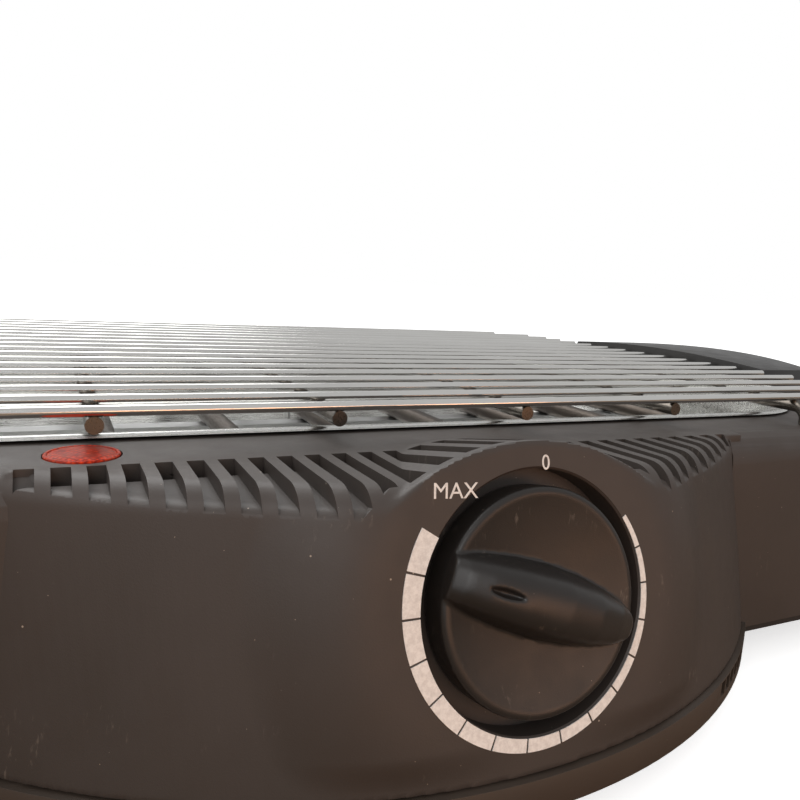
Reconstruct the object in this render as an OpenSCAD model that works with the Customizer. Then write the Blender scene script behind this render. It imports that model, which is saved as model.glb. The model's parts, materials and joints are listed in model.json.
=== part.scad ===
// Electric tabletop grill: moulded housing with a front control box, a lift-off wire
// grate, a heating element over a bright reflector pan, and a thermostat dial.
// Z is up, the table is z = 0, the control box faces -Y.

/* [Body] */
// Width of the housing at its bottom edge
body_w = 444; // [420:1:480]
// Depth of the housing at its bottom edge, without the control box
body_d = 294; // [284:1:330]
// Corner radius of the housing in plan
body_r = 70; // [60:1:80]
// Height of the flat deck above the table
deck_z = 79; // [74:1:90]
// Height of the housing's bottom edge above the table
base_z = 16; // [13:1:20]
// How much the housing wall leans in from bottom to top
lean = 3; // [1:0.5:5]
// Rounding of the deck's outer edge
deck_round = 9; // [6:0.5:12]
// Moulded wall thickness
wall = 2.6; // [2:0.1:3.2]

/* [Control box] */
// Radius of the bowed front at the seam with the lower cover
box_r = 166; // [156:1:174]
// How far the bow stands out from the housing's front wall
box_out = 38.3; // [34:0.1:42]
// Lean of the front face, in degrees from upright
box_tilt = 12; // [8:0.5:15]
// Height of the seam between the housing and the lower cover
seam_z = 18.3; // [17:0.1:20]
// Rounding of the control box's top edge
box_round = 5; // [3:0.5:7]
// Thickness of the deck over the control box, grooves included
box_deck_t = 9; // [8:0.5:11]
// Height of the lower cover's underside above the table
cover_z = 9; // [7:0.5:11]
// How far the lower cover stands proud of the front
cover_proud = 1.2; // [0.5:0.1:2]
// Number of air slots at each end of the lower cover
slot_count = 6; // [2:1:8]
// Distance of the outermost slot from the middle
slot_x = 91; // [84:1:93]
// Spacing of the slots
slot_pitch = 4; // [3.9:0.1:5]
// Width of one slot
slot_w = 3.2; // [2:0.1:3.4]
// Height of one slot
slot_h = 4.5; // [3:0.5:5]

/* [Vent grooves] */
// Spacing of the grooves in the control box's deck
groove_pitch = 6.6; // [6:0.1:8]
// Width of one groove
groove_w = 3.75; // [3:0.05:4.5]
// Depth of a groove at its rear end
groove_depth = 2.7; // [2:0.1:3.5]
// Fall of the groove floors towards the front, in degrees
groove_fall = 7; // [4:0.5:8]
// Distance of the grooves' rear ends from the pan's rim
groove_gap = 22; // [20:0.5:24]
// Number of grooves each side of the middle one
groove_side = 14; // [8:1:14]

/* [Dial] */
// Height of the dial's centre above the table
dial_z = 54; // [50:1:56]
// Radius of the recess that the knob turns in
well_r = 28.4; // [27:0.1:30]
// Depth of that recess
well_depth = 7; // [5:0.5:9]
// Radius of the arched hood over the dial
hood_r = 56.3; // [52:0.1:60]
// Height of the hood's arch above the dial's centre
hood_rise = 34.5; // [32:0.1:36]
// Radius of the flat round the dial
flat_r = 34; // [33.8:0.1:36]
// Number of blocks in the printed heat scale
scale_blocks = 15; // [8:1:18]
// Angle of one block, in degrees
scale_step = 16.5; // [10:0.5:17]
// Gap between two blocks, in degrees
scale_gap = 0.9; // [0.5:0.1:1.5]
// Width of the scale at its cool end
scale_min = 1.1; // [0.8:0.1:1.6]
// Width of the scale at its hot end
scale_max = 4.4; // [3:0.1:5]

/* [Knob] */
// Radius of the knob's disc
knob_r = 24.7; // [23:0.1:25.5]
// How far the knob's disc stands proud of the dial's face
knob_proud = 2; // [1:0.5:4]
// Height of the grip above the disc
grip_h = 11; // [8:0.5:14]
// Width of the grip
grip_w = 15; // [12:0.5:17]
// Angle of the pointer from the top of the dial, clockwise
pointer_angle = 290; // [0:1:320]
// Radius of the thermostat's shaft
shaft_r = 3; // [2.5:0.1:3.5]
// Running clearance round the shaft
shaft_fit = 0.05; // [0.02:0.01:0.09]

/* [Grate] */
// Number of bars across the grate
bar_count = 18; // [14:1:18]
// Spacing of the bars
bar_pitch = 15; // [12:0.5:15]
// Diameter of a bar
bar_d = 2.6; // [2.4:0.1:3.2]
// Diameter of the wires under the bars
rail_d = 4; // [3.5:0.1:4.5]
// Number of wires under the bars
rail_count = 8; // [8:2:8]
// Distance of the bars' ends from the housing's side
grate_margin = 20.5; // [20:0.5:24]
// Height of the bars' centre above the deck
bar_lift = 9; // [8.5:0.5:13]
// How deep the bars sink into the wires where they are welded
weld = 0.2; // [0.1:0.05:0.4]

/* [Pan and element] */
// Width of the reflector pan's rim
pan_w = 376; // [360:1:380]
// Depth of the reflector pan's rim
pan_d = 236; // [230:1:240]
// Corner radius of the reflector pan's rim
pan_r = 50; // [44:1:60]
// Width of the pan's flat rim
pan_flange = 7; // [6:0.5:9]
// Depth of the pan below the deck
pan_depth = 30; // [24:1:34]
// Thickness of the pan's sheet
pan_t = 0.8; // [0.6:0.1:1.2]
// Diameter of the heating element's tube
element_d = 6.5; // [6:0.1:8]
// Spacing of the heating element's legs
element_pitch = 36; // [32:1:36]
// Number of legs, always even
element_legs = 8; // [4:2:8]
// Sideways place of the middle of the element
element_x = 10; // [-12:1:12]
// Depth of the element's centre below the deck
element_drop = 9; // [8:0.5:12]

/* [Handles] */
// Length of each end handle
handle_l = 142; // [120:1:150]
// How far each handle reaches past the housing
handle_out = 29; // [24:1:36]
// How far each handle reaches in over the deck
handle_in = 15; // [13:0.5:16]
// Height of the middle of the handle above the deck
handle_rise = 13.5; // [12:0.5:18]
// Wall of the handle
handle_t = 4; // [3:0.5:5]

/* [Feet and fittings] */
// Diameter of a rubber foot
foot_d = 24; // [18:1:30]
// Distance of the feet's middle from the housing's sides
foot_side = 62; // [57:1:90]
// Distance of the feet's middle from the housing's front and rear
foot_end = 49; // [47:1:60]
// Radius of the red lens
lens_r = 7.8; // [6:0.1:8.4]
// Distance of the lens from the middle, to the left
lens_x = 88; // [80:1:95]
// Distance of the cord bush from the middle, to the left
gland_x = 130; // [122:1:140]
// Radius of the cord bush in the rear wall
gland_r = 7; // [6:0.5:9]
// How far the cord bush stands out at the rear
gland_out = 4; // [3:0.5:6]
// Thickness of the base plate
plate_t = 2; // [1.6:0.1:2.6]

/* [Hidden] */

seat = 0.3;             // gap left between pieces that are not clamped together
bore_fit = 0.15;        // radial clearance of a fixed piece in its hole
screw_r = 1.6;          // shank radius of every self-tapping screw
screw_head_r = 3.2;     // head radius of every screw
screw_head_t = 2;       // head height of every screw
boss_r = 4.5;           // radius of a moulded screw boss
boss_hole = 12;         // depth of a screw's pilot hole
thermostat_screw_x = 11; // distance of the thermostat's screws from its shaft
collar_r = 5;           // radius of the thermostat's collar in the well's floor
cord_r = 3.6;           // radius of the cord's bore in its bush
foot_taper = 2.5;       // how much a foot narrows at its sole
cutter = 40;            // length of a cut that runs past everything
eps = 0.02;             // overlap that makes a cut pass through a face

box_slope = tan(box_tilt);
box_ahead = body_d / 2 + box_out - box_r;
dial_y = -box_ahead - box_r + (dial_z - seam_z) * box_slope;
grip_reach = -dial_y + (knob_proud + grip_h) * cos(box_tilt);
front_reach = max(box_ahead + box_r + cover_proud, grip_reach);
back_reach = body_d / 2 + gland_out;
body_y = (front_reach - back_reach) / 2;
hood_low = hood_rise - hood_r;
pan_in_w = pan_w - 2 * pan_flange;
pan_in_d = pan_d - 2 * pan_flange;
pan_in_r = pan_r - pan_flange;
pan_floor_z = deck_z - pan_depth;
groove_y = -pan_d / 2 - groove_gap;
box_ceiling_z = deck_z - box_deck_t;
box_rear = -body_d / 2 + deck_round + lean + 4;
bow_angle = 42;          // half the angle that the bow spans
lens_y = (-pan_d / 2 + groove_y) / 2 - 1.2;
bar_z = deck_z + bar_lift;
rail_z = bar_z - bar_d / 2 - rail_d / 2 + weld;
bar_half = body_w / 2 - grate_margin;
rail_pitch = (2 * bar_half - rail_d) / (rail_count - 1);
rail_last = (rail_count - 1) / 2;
flat_r_corner = body_r - lean - deck_round;
element_z = deck_z - element_drop;
element_front = -pan_in_d / 2 + element_d / 2 + 13;
element_back = pan_in_d / 2 - element_d / 2 - 13;
bend_r = element_pitch / 2;
rest_y = 42;
rest_w = 8;
rest_t = 1.2;
bush_r = element_d / 2 + 1.5;
boss_y = (pan_in_d / 2 + body_d / 2) / 2 - lean / 2;
boss_x = 104;
end_boss_x = (pan_in_w / 2 + body_w / 2) / 2 - 2;
handle_screw_y = handle_l / 2 - 22;
handle_screw_x = body_w / 2 - lean - handle_in / 2 - 1;
cover_screw_x = 62;
cover_screw_y = -body_d / 2 - seat - boss_r - 2.2;
knob_floor = -well_depth + 1.2;
thermostat_off = -well_depth - wall;
thermostat_w = 30;
thermostat_t = 20;
bracket_t = 1.5;
plate_top = base_z;
gland_z = base_z + gland_r + 8;

// Puts its children at the body's middle.
module at_body() {
    translate([0, body_y, 0]) children();
}

// Puts its children on the dial's face: x across, y up the face, z out of it.
module at_dial() {
    translate([0, dial_y, dial_z]) rotate([90 - box_tilt, 0, 0]) children();
}

// A rectangle with round corners, centred on the origin.
module rounded(w, d, r) {
    square([w - 2 * r, d], center = true);
    square([w, d - 2 * r], center = true);
    for (sx = [-1, 1], sy = [-1, 1])
        translate([sx * (w / 2 - r), sy * (d / 2 - r)]) circle(r = r, $fn = 96);
}

// Outer edge of the housing's section: radius r at the bottom, leaning in, rounded at the top.
function wall_edge(r, bottom, top, edge) = concat([[r, bottom]],
    [for (a = [0 : 18 : 90]) [r - lean - edge + edge * cos(a), top - edge + edge * sin(a)]]);

// The same section mirrored about the middle, for a straight run of half width w.
function wall_section(w, bottom, top, edge) =
    let (side = wall_edge(w, bottom, top, edge), n = len(side))
    concat(side, [for (i = [n - 1 : -1 : 0]) [-side[i][0], side[i][1]]]);

// The housing's main form, drawn in by inset: two straight runs and four round corners.
module body_form(inset, bottom, top, edge) {
    run_x = body_w / 2 - body_r;
    run_y = body_d / 2 - body_r;
    translate([-run_x, 0, 0]) rotate([90, 0, 90]) linear_extrude(2 * run_x)
        polygon(wall_section(body_d / 2 - inset, bottom, top, edge));
    translate([0, run_y, 0]) rotate([90, 0, 0]) linear_extrude(2 * run_y)
        polygon(wall_section(body_w / 2 - inset, bottom, top, edge));
    for (sx = [-1, 1], sy = [-1, 1])
        translate([sx * run_x, sy * run_y, 0]) rotate_extrude($fn = 96)
            polygon(concat([[0, bottom]], wall_edge(body_r - inset, bottom, top, edge), [[0, top]]));
}

// One level of the bowed control box: the bow's arc, closed behind, leaning back with height.
module box_level(z, inset) {
    r = box_r - inset;
    back = (z - seam_z) * box_slope - box_ahead;
    half = box_r * sin(bow_angle);
    bow = [for (a = [-bow_angle : 2 : bow_angle]) [r * sin(a), back - r * cos(a)]];
    translate([0, 0, z]) linear_extrude(eps) polygon(concat(bow, [[half, box_rear], [-half, box_rear]]));
}

// The bowed control box, drawn in by inset, with its top edge rounded by edge.
module box_form(inset, bottom, top, edge) {
    hull() {
        box_level(bottom, inset);
        for (a = [0 : 22.5 : 90])
            box_level(top - edge * (1 - sin(a)) - eps, inset + edge * (1 - cos(a)));
    }
}

// The hood's barrel, along the dial's axis.
module hood_barrel() {
    at_dial() translate([0, hood_low, -48]) cylinder(r = hood_r, h = 48, $fn = 200);
}

// The arched hood over the dial and the flat round the dial.
module hood_form() {
    intersection() {
        hood_barrel();
        hull() {
            box_level(deck_z - 6, 0);
            box_level(deck_z + 2 * bar_lift, 0);
        }
    }
    intersection() {
        hood_barrel();
        at_dial() translate([0, 0, -6]) cylinder(r1 = flat_r + 16, r2 = flat_r, h = 6, $fn = 128);
        translate([-60, -box_r - box_ahead - 5, seam_z]) cube([120, 60, 100]);
    }
}

module grooves() {
    length = -groove_y + box_ahead + box_r;
    difference() {
        for (k = [-groove_side : groove_side])
            translate([k * groove_pitch - groove_w / 2, groove_y, deck_z - groove_depth])
                rotate([groove_fall, 0, 0]) translate([0, -length, 0]) cube([groove_w, length, 30]);
        at_dial() translate([-hood_r, -dial_z, -3.2]) cube([2 * hood_r, 2 * dial_z + 20, 60]);
    }
}

// Points of every screw boss under the deck.
function boss_points() = concat(
    [for (sx = [-1, 1], sy = [-1, 1]) [sx * boss_x, sy * boss_y]],
    [for (sx = [-1, 1]) [sx * end_boss_x, 0]]);

module housing() {
    color("#3b3733") at_body() difference() {
        union() {
            difference() {
                union() {
                    body_form(0, base_z, deck_z, deck_round);
                    box_form(0, seam_z, deck_z, box_round);
                    hood_form();
                }
                body_form(wall, base_z - 1, deck_z - wall, deck_round - wall);
                box_form(wall, seam_z - 1, box_ceiling_z, 1);
            }
            at_dial() translate([0, 0, -well_depth - wall])
                cylinder(r = well_r + wall, h = well_depth + wall - 0.9, $fn = 96);
            for (p = boss_points())
                translate([p[0], p[1], base_z]) cylinder(r = boss_r, h = deck_z - wall - base_z + eps);
            for (sx = [-1, 1])
                translate([sx * cover_screw_x, cover_screw_y, seam_z])
                    cylinder(r = boss_r, h = box_ceiling_z - seam_z + eps);
        }
        linear_extrude(deck_z + 40) rounded(pan_in_w + 5, pan_in_d + 5, pan_in_r + 2.5);
        translate([0, 0, deck_z]) linear_extrude(40) rounded(pan_w, pan_d, pan_r);
        grooves();
        at_dial() translate([0, 0, -well_depth]) cylinder(r = well_r, h = 60, $fn = 128);
        at_dial() translate([0, 0, -well_depth - wall - 1]) cylinder(r = collar_r + bore_fit, h = cutter, $fn = 48);
        at_dial() for (sx = [-1, 1])
            translate([sx * thermostat_screw_x, 0, -well_depth - wall - 1])
                cylinder(r = screw_r + bore_fit, h = cutter, $fn = 24);
        translate([-lens_x, lens_y, deck_z - 12]) cylinder(r = lens_r + bore_fit, h = 30, $fn = 64);
        for (p = boss_points())
            translate([p[0], p[1], base_z - 1]) cylinder(r = screw_r, h = boss_hole + 1, $fn = 24);
        for (sx = [-1, 1])
            translate([sx * cover_screw_x, cover_screw_y, seam_z - 1])
                cylinder(r = screw_r, h = boss_hole + 1, $fn = 24);
        for (sx = [-1, 1], sy = [-1, 1])
            translate([sx * handle_screw_x, sy * handle_screw_y, deck_z - wall - 2 * screw_head_t]) {
                cylinder(r = screw_r + bore_fit, h = cutter, $fn = 24);
                cylinder(r = screw_head_r + seat, h = 2 * screw_head_t, $fn = 32);
            }
        translate([-gland_x, body_d / 2 + 10, gland_z]) rotate([90, 0, 0])
            cylinder(r = gland_r + bore_fit, h = 30, $fn = 48);
    }
}

// Outline of the lower cover: the bow's segment in front of the body.
module cover_outline(inset) {
    intersection() {
        translate([0, -box_ahead]) circle(r = box_r + cover_proud - inset, $fn = 240);
        translate([-box_r, -box_r - box_ahead - 10])
            square([2 * box_r, box_r + box_ahead + 10 - body_d / 2 - seat - inset]);
    }
}

module box_cover() {
    color("#4a4038") at_body() difference() {
        union() {
            translate([0, 0, cover_z + 1.2]) linear_extrude(seam_z - cover_z - 1.2) cover_outline(0);
            translate([0, 0, cover_z]) linear_extrude(1.2 + eps) cover_outline(1.2);
        }
        difference() {
            translate([0, 0, cover_z + plate_t]) linear_extrude(20) cover_outline(wall + cover_proud);
            for (sx = [-1, 1])
                translate([sx * cover_screw_x, cover_screw_y, 0]) cylinder(r = boss_r, h = seam_z);
        }
        for (sx = [-1, 1]) translate([sx * cover_screw_x, cover_screw_y, 0]) {
            cylinder(r = screw_r + bore_fit, h = 40, $fn = 24);
            cylinder(r = screw_head_r + seat, h = cover_z + screw_head_t + seat, $fn = 32);
        }
        for (sx = [-1, 1], k = [0 : slot_count - 1])
            translate([sx * (slot_x - k * slot_pitch) - slot_w / 2, -box_r - box_ahead + 10, seam_z - 0.8 - slot_h])
                cube([slot_w, 40, slot_h]);
    }
}

module base_plate() {
    color("#2a2826") at_body() difference() {
        translate([0, 0, plate_top - plate_t]) linear_extrude(plate_t)
            rounded(body_w - 1, body_d - 1, body_r - 0.5);
        for (p = boss_points())
            translate([p[0], p[1], 0]) cylinder(r = screw_r + bore_fit, h = 40, $fn = 24);
        for (k = [-6 : 6], sy = [-1, 1])
            translate([k * 14 - 3, sy * 40 - 22, 0]) cube([6, 44, 40]);
    }
}

module reflector_pan() {
    color("#c9c9c6") at_body() difference() {
        union() {
            translate([0, 0, deck_z]) linear_extrude(pan_t) rounded(pan_w, pan_d, pan_r);
            translate([0, 0, pan_floor_z]) linear_extrude(pan_depth + pan_t / 2)
                rounded(pan_in_w + 2 * pan_t, pan_in_d + 2 * pan_t, pan_in_r + pan_t);
        }
        translate([0, 0, pan_floor_z + pan_t]) linear_extrude(pan_depth + 5)
            rounded(pan_in_w, pan_in_d, pan_in_r);
        for (x = element_ends())
            translate([x, 0, element_z]) rotate([90, 0, 0]) cylinder(r = bush_r + bore_fit, h = pan_d, $fn = 48);
    }
}

function leg_x(i) = element_x + (i - (element_legs - 1) / 2) * element_pitch;
function element_ends() = [leg_x(0), leg_x(element_legs - 1)];
function pan_wall_y(x) =
    let (over = max(0, abs(x) - (pan_in_w / 2 - pan_in_r)))
    -(pan_in_d / 2 - pan_in_r) - sqrt(pow(pan_in_r, 2) - pow(over, 2));

module element_leg(x, y0, y1) {
    translate([x, y0, element_z]) rotate([-90, 0, 0]) cylinder(d = element_d, h = y1 - y0, $fn = 32);
}

module element_bend(i, y, turn) {
    translate([(leg_x(i) + leg_x(i + 1)) / 2, y, element_z]) rotate([0, 0, turn])
        rotate_extrude(angle = 180, $fn = 64) translate([bend_r, 0]) circle(d = element_d, $fn = 32);
}

module heating_element() {
    bend_front = element_front + bend_r;
    bend_back = element_back - bend_r;
    color("#4b4946") at_body() {
        for (i = [0 : element_legs - 1]) {
            cold = i == 0 || i == element_legs - 1;
            element_leg(leg_x(i), cold ? pan_wall_y(leg_x(i)) - 12 : bend_front, bend_back);
        }
        for (i = [0 : element_legs - 2])
            if (i % 2 == 0)
                element_bend(i, bend_back, 0);
            else
                element_bend(i, bend_front, 180);
    }
}

module element_bushes() {
    color("#e6e0d2") at_body()
        for (x = element_ends()) translate([x, pan_wall_y(x) + 3, element_z]) rotate([90, 0, 0])
            difference() {
                union() {
                    cylinder(r = bush_r, h = 9, $fn = 48);
                    translate([0, 0, 3 + pan_t + seat]) cylinder(r = bush_r + 1.3, h = 4, $fn = 48);
                }
                translate([0, 0, -1]) cylinder(r = element_d / 2 + shaft_fit, h = 20, $fn = 32);
            }
}

module element_terminals() {
    color("#b9ab7c") at_body()
        for (x = element_ends()) translate([x, pan_wall_y(x) - 12, element_z]) rotate([90, 0, 0]) {
            cylinder(r = 1.6, h = 4, $fn = 24);
            translate([-3.2, -0.4, 3]) cube([6.4, 0.8, 8]);
        }
}

module element_rests() {
    reach = element_pitch * (element_legs - 1) + 2 * element_d;
    rest_top = element_z - element_d / 2 - seat / 2;
    color("#b4b4b0") at_body()
        for (sy = [-1, 1]) translate([element_x - reach / 2, sy * rest_y - rest_w / 2, 0]) {
            translate([0, 0, rest_top - rest_t]) cube([reach, rest_w, rest_t]);
            for (k = [0, 0.5, 1])
                translate([k * (reach - rest_t), 0, pan_floor_z + pan_t])
                    cube([rest_t, rest_w, rest_top - pan_floor_z - pan_t]);
        }
}

module heat_shield() {
    shield_z = (pan_floor_z + plate_top) / 2;
    color("#a9a9a4") at_body() {
        translate([0, 0, shield_z]) linear_extrude(pan_t) rounded(pan_in_w - 20, pan_in_d - 20, pan_in_r - 10);
        for (sx = [-1, 1], sy = [-1, 1])
            translate([sx * (pan_in_w / 2 - 60) - 8, sy * (pan_in_d / 2 - 16) - 1, plate_top])
                cube([16, 2, shield_z - plate_top + pan_t / 2]);
    }
}

module thermal_cutout() {
    color("#6b6460") at_body() translate([0, -pan_in_d / 4, pan_floor_z - 7]) {
        cylinder(r = 7, h = 7, $fn = 48);
        translate([-11, -2.5, 1]) cube([22, 5, 0.8]);
    }
}

module thermostat() {
    color("#8f8878") at_body() at_dial() difference() {
        union() {
            translate([-thermostat_w / 2, -thermostat_w / 2, thermostat_off - bracket_t - thermostat_t])
                cube([thermostat_w, thermostat_w, thermostat_t]);
            translate([0, 0, thermostat_off - 2]) cylinder(r = collar_r, h = wall + 2.6, $fn = 48);
            for (sx = [-1, 1])
                translate([sx * 9 - 3, -0.4, thermostat_off - bracket_t - thermostat_t - 8]) cube([6, 0.8, 8.5]);
        }
        translate([0, 0, thermostat_off - bracket_t - thermostat_t + 5])
            cylinder(r = shaft_r + shaft_fit, h = 60, $fn = 48);
    }
}

module thermostat_bracket() {
    color("#9a9a96") at_body() at_dial() translate([0, 0, thermostat_off - bracket_t]) difference() {
        translate([-thermostat_w / 2 - 1, -8, 0]) cube([thermostat_w + 2, 16, bracket_t]);
        translate([0, 0, -1]) cylinder(r = collar_r + bore_fit, h = cutter, $fn = 48);
        for (sx = [-1, 1])
            translate([sx * thermostat_screw_x, 0, -1]) cylinder(r = screw_r, h = cutter, $fn = 24);
    }
}

// A screw that points up, with its head below z = 0.
module screw(length) {
    slot = [4, 0.8, 1];
    translate([0, 0, -screw_head_t / 2]) cylinder(r = screw_r - 0.1, h = length + screw_head_t / 2, $fn = 24);
    translate([0, 0, -screw_head_t]) difference() {
        cylinder(r = screw_head_r, h = screw_head_t, $fn = 32);
        for (turn = [0, 90])
            rotate([0, 0, turn]) translate([-slot[0] / 2, -slot[1] / 2, -eps]) cube(slot);
    }
}

module thermostat_screws() {
    color("#bcbcb8") at_body() at_dial() for (sx = [-1, 1])
        translate([sx * thermostat_screw_x, 0, -well_depth]) rotate([180, 0, 0]) screw(wall + bracket_t);
}

module knob_shaft() {
    color("#b6b6b0") at_body() at_dial() translate([0, 0, thermostat_off - thermostat_t + 4])
        cylinder(r = shaft_r, h = -thermostat_off + thermostat_t - 4 - 0.6, $fn = 48);
}

// The knob: a dished disc on a skirt, a hub on the shaft and a broad grip across the disc.
module control_knob() {
    face = knob_proud;
    dish = 1.6;
    color("#232120") at_body() at_dial() rotate([0, 0, -pointer_angle]) {
        difference() {
            union() {
                rotate_extrude($fn = 128) polygon([
                    [0, face - 3 - dish], [knob_r - 2.2, face - 3 - dish], [knob_r - 2.2, knob_floor],
                    [knob_r, knob_floor], [knob_r, face - 0.6], [knob_r - 0.6, face],
                    [knob_r - 2, face], [knob_r - 5, face - dish], [0, face - dish]]);
                translate([0, 0, knob_floor + 1]) cylinder(r = 5.5, h = face - knob_floor - 1 - dish, $fn = 48);
                intersection() {
                    hull() {
                        translate([0, 10, face - dish - 1]) cylinder(r = grip_w / 2, h = 3, $fn = 32);
                        translate([0, -8, face - dish - 1]) cylinder(r = grip_w / 2, h = 3, $fn = 32);
                        translate([0, -22, face - dish - 1]) cylinder(r = 5, h = 3, $fn = 32);
                        translate([0, 10, face + grip_h - 7]) sphere(r = 5, $fn = 32);
                        translate([0, -4, face + grip_h - 5]) sphere(r = 5, $fn = 32);
                        translate([0, -19, face + 1]) sphere(r = 3.4, $fn = 32);
                    }
                    translate([0, 0, face - dish - 1]) cylinder(r = knob_r - 0.4, h = 40, $fn = 96);
                }
            }
            translate([0, 0, knob_floor - 1]) cylinder(r = shaft_r + shaft_fit, h = well_depth + 0.4, $fn = 48);
        }
    }
}

// One block of the scale between two clockwise angles, on the dial's face.
module scale_block(a0, a1) {
    r0 = well_r + 0.3;
    steps = [for (i = [0 : 6]) a0 + (a1 - a0) * i / 6];
    first = 180 - scale_blocks * scale_step / 2;
    last = 180 + scale_blocks * scale_step / 2;
    outer = [for (a = steps)
        let (r = r0 + scale_min + (scale_max - scale_min) * (a - first) / (last - first))
        [r * sin(a), r * cos(a)]];
    inner = [for (i = [6 : -1 : 0]) [r0 * sin(steps[i]), r0 * cos(steps[i])]];
    linear_extrude(0.2) polygon(concat(outer, inner));
}

module dial_scale() {
    first = 180 - scale_blocks * scale_step / 2;
    color("#dcdad5") at_body() at_dial() for (i = [0 : scale_blocks - 1])
        scale_block(first + i * scale_step + scale_gap / 2, first + (i + 1) * scale_step - scale_gap / 2);
}

module indicator_lens() {
    color("#c8402a") at_body() translate([-lens_x, lens_y, 0]) {
        translate([0, 0, deck_z - wall]) cylinder(r = lens_r, h = wall, $fn = 64);
        translate([0, 0, deck_z - 0.3]) intersection() {
            cylinder(r = lens_r, h = 3, $fn = 64);
            translate([0, 0, 1.5 - 4 * lens_r]) sphere(r = 4 * lens_r, $fn = 128);
        }
    }
}

module lamp_holder() {
    color("#d8d2c4") at_body() translate([-lens_x, lens_y, deck_z - wall - 14]) difference() {
        cylinder(r = lens_r, h = 14, $fn = 64);
        translate([0, 0, 2]) cylinder(r = 5, h = 20, $fn = 48);
    }
}

module neon_lamp() {
    color("#e9a27c") at_body() translate([-lens_x, lens_y, deck_z - wall - 12]) {
        cylinder(r = 3, h = 6, $fn = 32);
        translate([0, 0, 6]) sphere(r = 3, $fn = 32);
    }
}

// The connector strip lies on the lower cover, just in front of the cover's rear wall.
module terminal_block() {
    way = 10;
    ways = 3;
    block = [way * ways, 12, 12];
    back = -body_d / 2 - 2 * seat - wall - cover_proud;
    color("#d9d4c8") at_body() translate([8, back - block[1], cover_z + plate_t]) difference() {
        cube(block);
        for (k = [0 : ways - 1]) translate([(k + 0.5) * way, 0, 0]) {
            translate([0, -1, 5]) rotate([-90, 0, 0]) cylinder(r = 1.8, h = cutter, $fn = 24);
            translate([0, block[1] / 2, 8]) cylinder(r = 2.2, h = block[2], $fn = 24);
        }
    }
}

module cord_bush() {
    color("#1d1c1b") at_body() translate([-gland_x, body_d / 2 + gland_out, gland_z])
        rotate([90, 0, 0]) difference() {
            union() {
                cylinder(r = gland_r, h = gland_out + wall + 5, $fn = 48);
                cylinder(r = gland_r + 1.8, h = gland_out, $fn = 48);
                translate([0, 0, gland_out + wall + 2]) cylinder(r = gland_r + 1.2, h = 2, $fn = 48);
            }
            translate([0, 0, -1]) cylinder(r = cord_r, h = cutter, $fn = 32);
        }
}

// Side profile of the handle's arched top, along its length.
module handle_side() {
    half = handle_l / 2;
    sag = 3.5;
    top = [for (i = [0 : 16])
        let (y = -half + 4 + (handle_l - 8) * i / 16)
        [y, handle_rise - sag * pow(y / half, 2)]];
    polygon(concat([[half, -9], [half, handle_rise - sag - 5]],
        [for (i = [16 : -1 : 0]) top[i]], [[-half, handle_rise - sag - 5], [-half, -9]]));
}

// Plan of the handle: a bowed strip from over the deck to beyond the end wall.
module handle_plan(inset) {
    half = handle_l / 2 - inset;
    reach = body_w / 2 + handle_out - inset;
    inner = body_w / 2 - lean - handle_in + inset;
    bow = 16;
    outer = [for (i = [0 : 16])
        let (y = -half + 2 * half * i / 16)
        [reach - bow * pow(y / half, 2), y]];
    polygon(concat([[inner, -half]], outer, [[inner, half]]));
}

module handle(side) {
    color("#1b1a19") at_body() mirror([side < 0 ? 1 : 0, 0, 0]) difference() {
        intersection() {
            translate([0, 0, deck_z - 20]) linear_extrude(60) handle_plan(0);
            translate([body_w / 2 - 60, 0, deck_z]) rotate([90, 0, 90])
                linear_extrude(120) handle_side();
        }
        translate([0, 0, deck_z - 30]) linear_extrude(30)
            translate([-100, -handle_l]) square([100 + body_w / 2 + seat, 2 * handle_l]);
        difference() {
            translate([0, 0, deck_z - 20]) linear_extrude(20 + handle_rise - 3.5 - handle_t)
                handle_plan(handle_t);
            translate([body_w / 2 - lean - handle_in, -handle_l, deck_z])
                cube([handle_in + lean + handle_t, 2 * handle_l, 20]);
        }
        for (sy = [-1, 1])
            translate([handle_screw_x, sy * handle_screw_y, deck_z - 1]) cylinder(r = screw_r, h = 8, $fn = 24);
    }
}

module handle_left() {
    handle(-1);
}

module handle_right() {
    handle(1);
}

module handle_screws() {
    color("#bcbcb8") at_body() for (sx = [-1, 1], sy = [-1, 1])
        translate([sx * handle_screw_x, sy * handle_screw_y, deck_z - wall]) screw(wall + 6);
}

module base_screws() {
    color("#bcbcb8") at_body() for (p = boss_points())
        translate([p[0], p[1], plate_top - plate_t]) screw(plate_t + 10);
}

module cover_screws() {
    color("#bcbcb8") at_body() for (sx = [-1, 1])
        translate([sx * cover_screw_x, cover_screw_y, cover_z + screw_head_t + seat])
            screw(seam_z - cover_z - screw_head_t + 9);
}

module foot(sx, sy) {
    height = plate_top - plate_t;
    x = body_w / 2 - foot_side;
    y = body_d / 2 - foot_end;
    color("#171615") at_body() translate([sx * x, sy * y, 0])
        rotate_extrude($fn = 64) polygon([
            [0, 0], [foot_d / 2 - foot_taper, 0], [foot_d / 2 - foot_taper / 2.5, foot_taper * 0.6],
            [foot_d / 2, height], [0, height]]);
}

module foot_front_left() {
    foot(-1, -1);
}

module foot_front_right() {
    foot(1, -1);
}

module foot_rear_left() {
    foot(-1, 1);
}

module foot_rear_right() {
    foot(1, 1);
}

function bar_y(i) = (i - (bar_count - 1) / 2) * bar_pitch;

// Half the length of a wire at distance y from the middle, kept over the flat of the deck.
function reach_x(y) =
    let (over = max(0, abs(y) - (body_d / 2 - body_r)))
    min(bar_half, body_w / 2 - body_r + sqrt(max(0, pow(flat_r_corner, 2) - pow(over, 2))));

// Number of bars that a wire at distance x from the middle meets on each side.
function bars_met(x) = len([for (i = [0 : bar_count - 1])
    if (bar_y(i) > 0 && reach_x(bar_y(i)) >= x + rail_d / 2 - eps) i]);

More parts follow.
